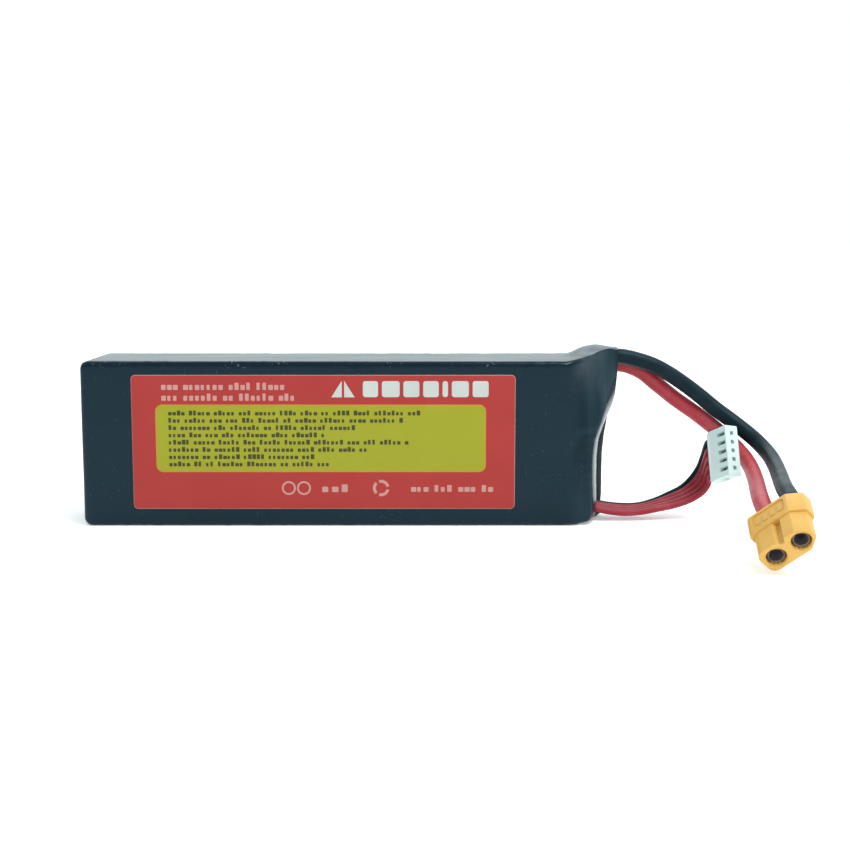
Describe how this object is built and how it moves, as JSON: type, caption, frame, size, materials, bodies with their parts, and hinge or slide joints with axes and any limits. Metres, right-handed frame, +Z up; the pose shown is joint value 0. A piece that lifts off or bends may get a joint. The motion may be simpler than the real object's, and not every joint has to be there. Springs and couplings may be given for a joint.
{
  "type": "lithium polymer battery pack",
  "caption": "Film-wrapped soft battery pack standing on its long edge, with a front label, two thick leads to a power plug and a thin balance harness.",
  "frame": {"origin": "on the surface that the pack stands on, under the middle of the wrapped pack without its leads", "axes": "+X along the pack towards the mouth that the leads leave, +Y away from the label, +Z up"},
  "size_m": [0.1949, 0.0941, 0.0494],
  "materials": {
    "film": "glossy black heat-shrink film",
    "label": "red printed label, semi-gloss",
    "pouch": "laminated aluminium foil pouch",
    "tab_plate": "nickel-plated tab",
    "pad_tape": "double-sided tape",
    "band_tape": "amber polyimide tape",
    "board": "green circuit board",
    "paper": "insulating paper",
    "foam": "black foam",
    "silicone_black": "satin silicone",
    "silicone_red": "satin silicone",
    "plug_yellow": "moulded nylon, satin",
    "brass": "gold-plated brass",
    "plug_white": "moulded nylon, satin",
    "contact_metal": "tinned contact"
  },
  "bodies": {
    "root": {"balance_contact_1": "contact_metal", "balance_contact_2": "contact_metal", "balance_contact_3": "contact_metal", "balance_contact_4": "contact_metal", "balance_contact_5": "contact_metal", "balance_plug_housing": "plug_white", "balance_wire_1": "silicone_red", "balance_wire_2": "silicone_red", "balance_wire_3": "silicone_red", "balance_wire_4": "silicone_red", "balance_wire_5": "silicone_black", "cell_1": "pouch", "cell_1_negative_tab": "tab_plate", "cell_1_positive_tab": "tab_plate", "cell_2": "pouch", "cell_2_negative_tab": "tab_plate", "cell_2_positive_tab": "tab_plate", "cell_3": "pouch", "cell_3_negative_tab": "tab_plate", "cell_3_positive_tab": "tab_plate", "cell_4": "pouch", "cell_4_negative_tab": "tab_plate", "cell_4_positive_tab": "tab_plate", "cell_tape_1": "pad_tape", "cell_tape_2": "pad_tape", "cell_tape_3": "pad_tape", "front_label": "label", "insulating_paper": "paper", "main_lead_black": "silicone_black", "main_lead_red": "silicone_red", "power_contact_negative": "brass", "power_contact_positive": "brass", "power_plug_housing": "plug_yellow", "power_plug_insert": "plug_yellow", "rear_end_pad": "foam", "shrink_wrap": "film", "stack_tape_front": "band_tape", "stack_tape_rear": "band_tape", "tab_board": "board", "tab_spacer_foam": "foam"}
  },
  "joints": []
}
